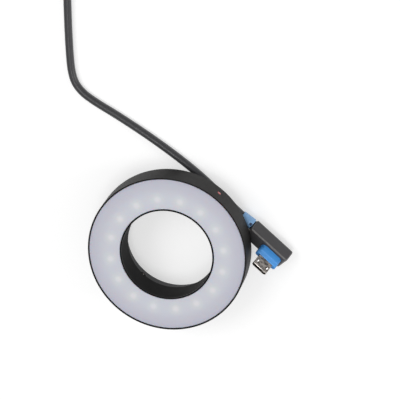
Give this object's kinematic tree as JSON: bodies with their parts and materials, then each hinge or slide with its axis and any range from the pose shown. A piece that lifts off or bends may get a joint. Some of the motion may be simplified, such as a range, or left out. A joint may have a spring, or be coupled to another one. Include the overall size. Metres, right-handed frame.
{
  "type": "macro ring light",
  "caption": "Ring light for close-up work with a milky front, a screwed rear collar that slips over a barrel, and an unplugged lead with a right-angle plug and a coil.",
  "frame": {"origin": "on the optical axis at the mounting collar's rear face, which is the ground that everything lies on", "axes": "+Z along the optical axis out of the lit face; X and Y across the ring, with the lead leaving towards +Y"},
  "size_m": [0.107, 0.1901, 0.0205],
  "materials": {
    "shell_black": "satin black moulded shell",
    "dot_red": "red inlaid dot",
    "cover_black": "fine textured black",
    "sleeve_black": "glossy black",
    "diffuser_milk": "milky, light passes through",
    "reflector_white": "glossy white",
    "board_white": "white solder mask",
    "led_yellow": "phosphor in a white block",
    "driver_dark": "moulded chips",
    "screw_zinc": "zinc plated",
    "collar_aluminium": "black anodised look on aluminium",
    "clamp_steel": "black nickel",
    "tip_nylon": "natural nylon",
    "socket_steel": "tin plated sheet",
    "tongue_black": "moulded black",
    "contact_gold": "gold flash",
    "grip_grey": "soft dark grey moulding",
    "base_blue": "blue moulding",
    "plug_steel": "bright nickel on folded sheet",
    "insert_black": "moulded black",
    "latch_steel": "spring steel",
    "relief_blue": "blue soft moulding",
    "cord_grey": "matt dark grey jacket",
    "tie_black": "soft black strip",
    "usb_white": "white core"
  },
  "bodies": {
    "light": {"housing": "shell_black", "index_dot": "dot_red", "rear_cover": "cover_black", "inner_sleeve": "sleeve_black", "diffuser": "diffuser_milk", "reflector": "reflector_white", "led_board": "board_white", "leds": "led_yellow", "driver_parts": "driver_dark", "cover_screws": "screw_zinc", "board_screws": "screw_zinc", "collar_screws": "screw_zinc", "mounting_collar": "collar_aluminium", "socket_shell": "socket_steel", "socket_tongue": "tongue_black", "socket_contacts": "contact_gold", "plug_body": "grip_grey", "plug_base": "base_blue", "plug_shell": "plug_steel", "plug_insert": "insert_black", "plug_contacts": "contact_gold", "strain_relief": "relief_blue", "cord_run": "cord_grey", "cord_coil": "cord_grey", "cord_tie": "tie_black", "cord_tail": "cord_grey", "usb_relief": "grip_grey", "usb_grip": "grip_grey", "usb_shell": "plug_steel", "usb_tongue": "usb_white", "usb_contacts": "contact_gold"},
    "tip_1": {"screw_tip_1": "tip_nylon"},
    "knob_1": {"clamp_screw_1": "clamp_steel"},
    "tip_2": {"screw_tip_2": "tip_nylon"},
    "knob_2": {"clamp_screw_2": "clamp_steel"},
    "tip_3": {"screw_tip_3": "tip_nylon"},
    "knob_3": {"clamp_screw_3": "clamp_steel"},
    "latch": {"latch_spring": "latch_steel"}
  },
  "joints": [
    {"name": "clamp_1_travel", "type": "slide", "parent": "light", "child": "tip_1", "axis": [0.342, -0.9397, 0], "range_m": [0, 0.002]},
    {"name": "clamp_1_turn", "type": "hinge", "parent": "tip_1", "child": "knob_1", "pos_m": [0, 0, 0.00425], "axis": [0.342, -0.9397, 0], "range_deg": [0, 1440]},
    {"name": "clamp_2_travel", "type": "slide", "parent": "light", "child": "tip_2", "axis": [0.6428, 0.766, 0], "range_m": [0, 0.002]},
    {"name": "clamp_2_turn", "type": "hinge", "parent": "tip_2", "child": "knob_2", "pos_m": [0, 0, 0.00425], "axis": [0.6428, 0.766, 0], "range_deg": [0, 1440]},
    {"name": "clamp_3_travel", "type": "slide", "parent": "light", "child": "tip_3", "axis": [-0.9848, 0.1736, 0], "range_m": [0, 0.002]},
    {"name": "clamp_3_turn", "type": "hinge", "parent": "tip_3", "child": "knob_3", "pos_m": [0, 0, 0.00425], "axis": [-0.9848, 0.1736, 0], "range_deg": [0, 1440]},
    {"name": "latch_flex", "type": "hinge", "parent": "light", "child": "latch", "pos_m": [0.03922, -0.00219, 0.00895], "axis": [0.7547, -0.6561, 0], "range_deg": [0, 4], "stiffness_Nm_per_rad": 0.02}
  ],
  "couplings": [
    {"joint": "clamp_1_turn", "follows": "clamp_1_travel", "rad_per_m": 12566},
    {"joint": "clamp_2_turn", "follows": "clamp_2_travel", "rad_per_m": 12566},
    {"joint": "clamp_3_turn", "follows": "clamp_3_travel", "rad_per_m": 12566}
  ]
}
